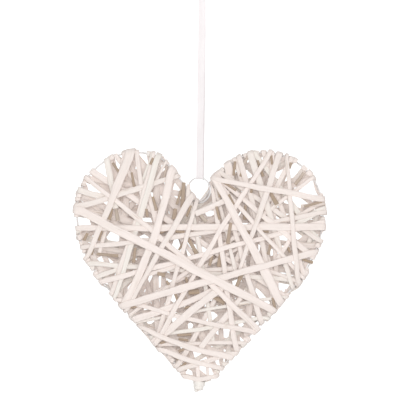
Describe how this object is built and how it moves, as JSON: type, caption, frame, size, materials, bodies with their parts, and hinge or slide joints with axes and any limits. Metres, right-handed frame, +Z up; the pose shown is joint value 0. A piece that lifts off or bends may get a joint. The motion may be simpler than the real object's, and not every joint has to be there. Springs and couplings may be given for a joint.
{
  "type": "wicker heart",
  "caption": "Hanging heart of whitewashed willow strips wound over a wire rim, drawn to a bound tip, with a wire ring at the notch and a narrow ribbon doubled through it and knotted.",
  "frame": {"origin": "middle of the ribbon's knot, from which the heart hangs; the notch is 0.21 m and the tip 0.40 m below it", "axes": "+Z up along the ribbon, front of the heart towards -Y, +X to the right seen from the front"},
  "size_m": [0.2513, 0.0463, 0.4088],
  "materials": {
    "whitewashed_willow": "whitewashed, matt, with bare grain showing through in places",
    "tip_willow": "whitewashed, matt",
    "painted_rim_wire": "thin whitish paint over dull grey wire",
    "ring_wire": "plain bright wire",
    "ribbon_cloth": "pale woven ribbon with a faint sheen"
  },
  "bodies": {
    "root": {"rim_wire": "painted_rim_wire", "hanging_ring": "ring_wire", "ribbon": "ribbon_cloth", "ribbon_knot": "ribbon_cloth", "tip_winding": "tip_willow", "winding_01": "whitewashed_willow", "winding_02": "whitewashed_willow", "winding_03": "whitewashed_willow", "winding_04": "whitewashed_willow", "winding_05": "whitewashed_willow", "winding_06": "whitewashed_willow", "winding_07": "whitewashed_willow", "winding_08": "whitewashed_willow", "winding_09": "whitewashed_willow", "winding_10": "whitewashed_willow"}
  },
  "joints": []
}
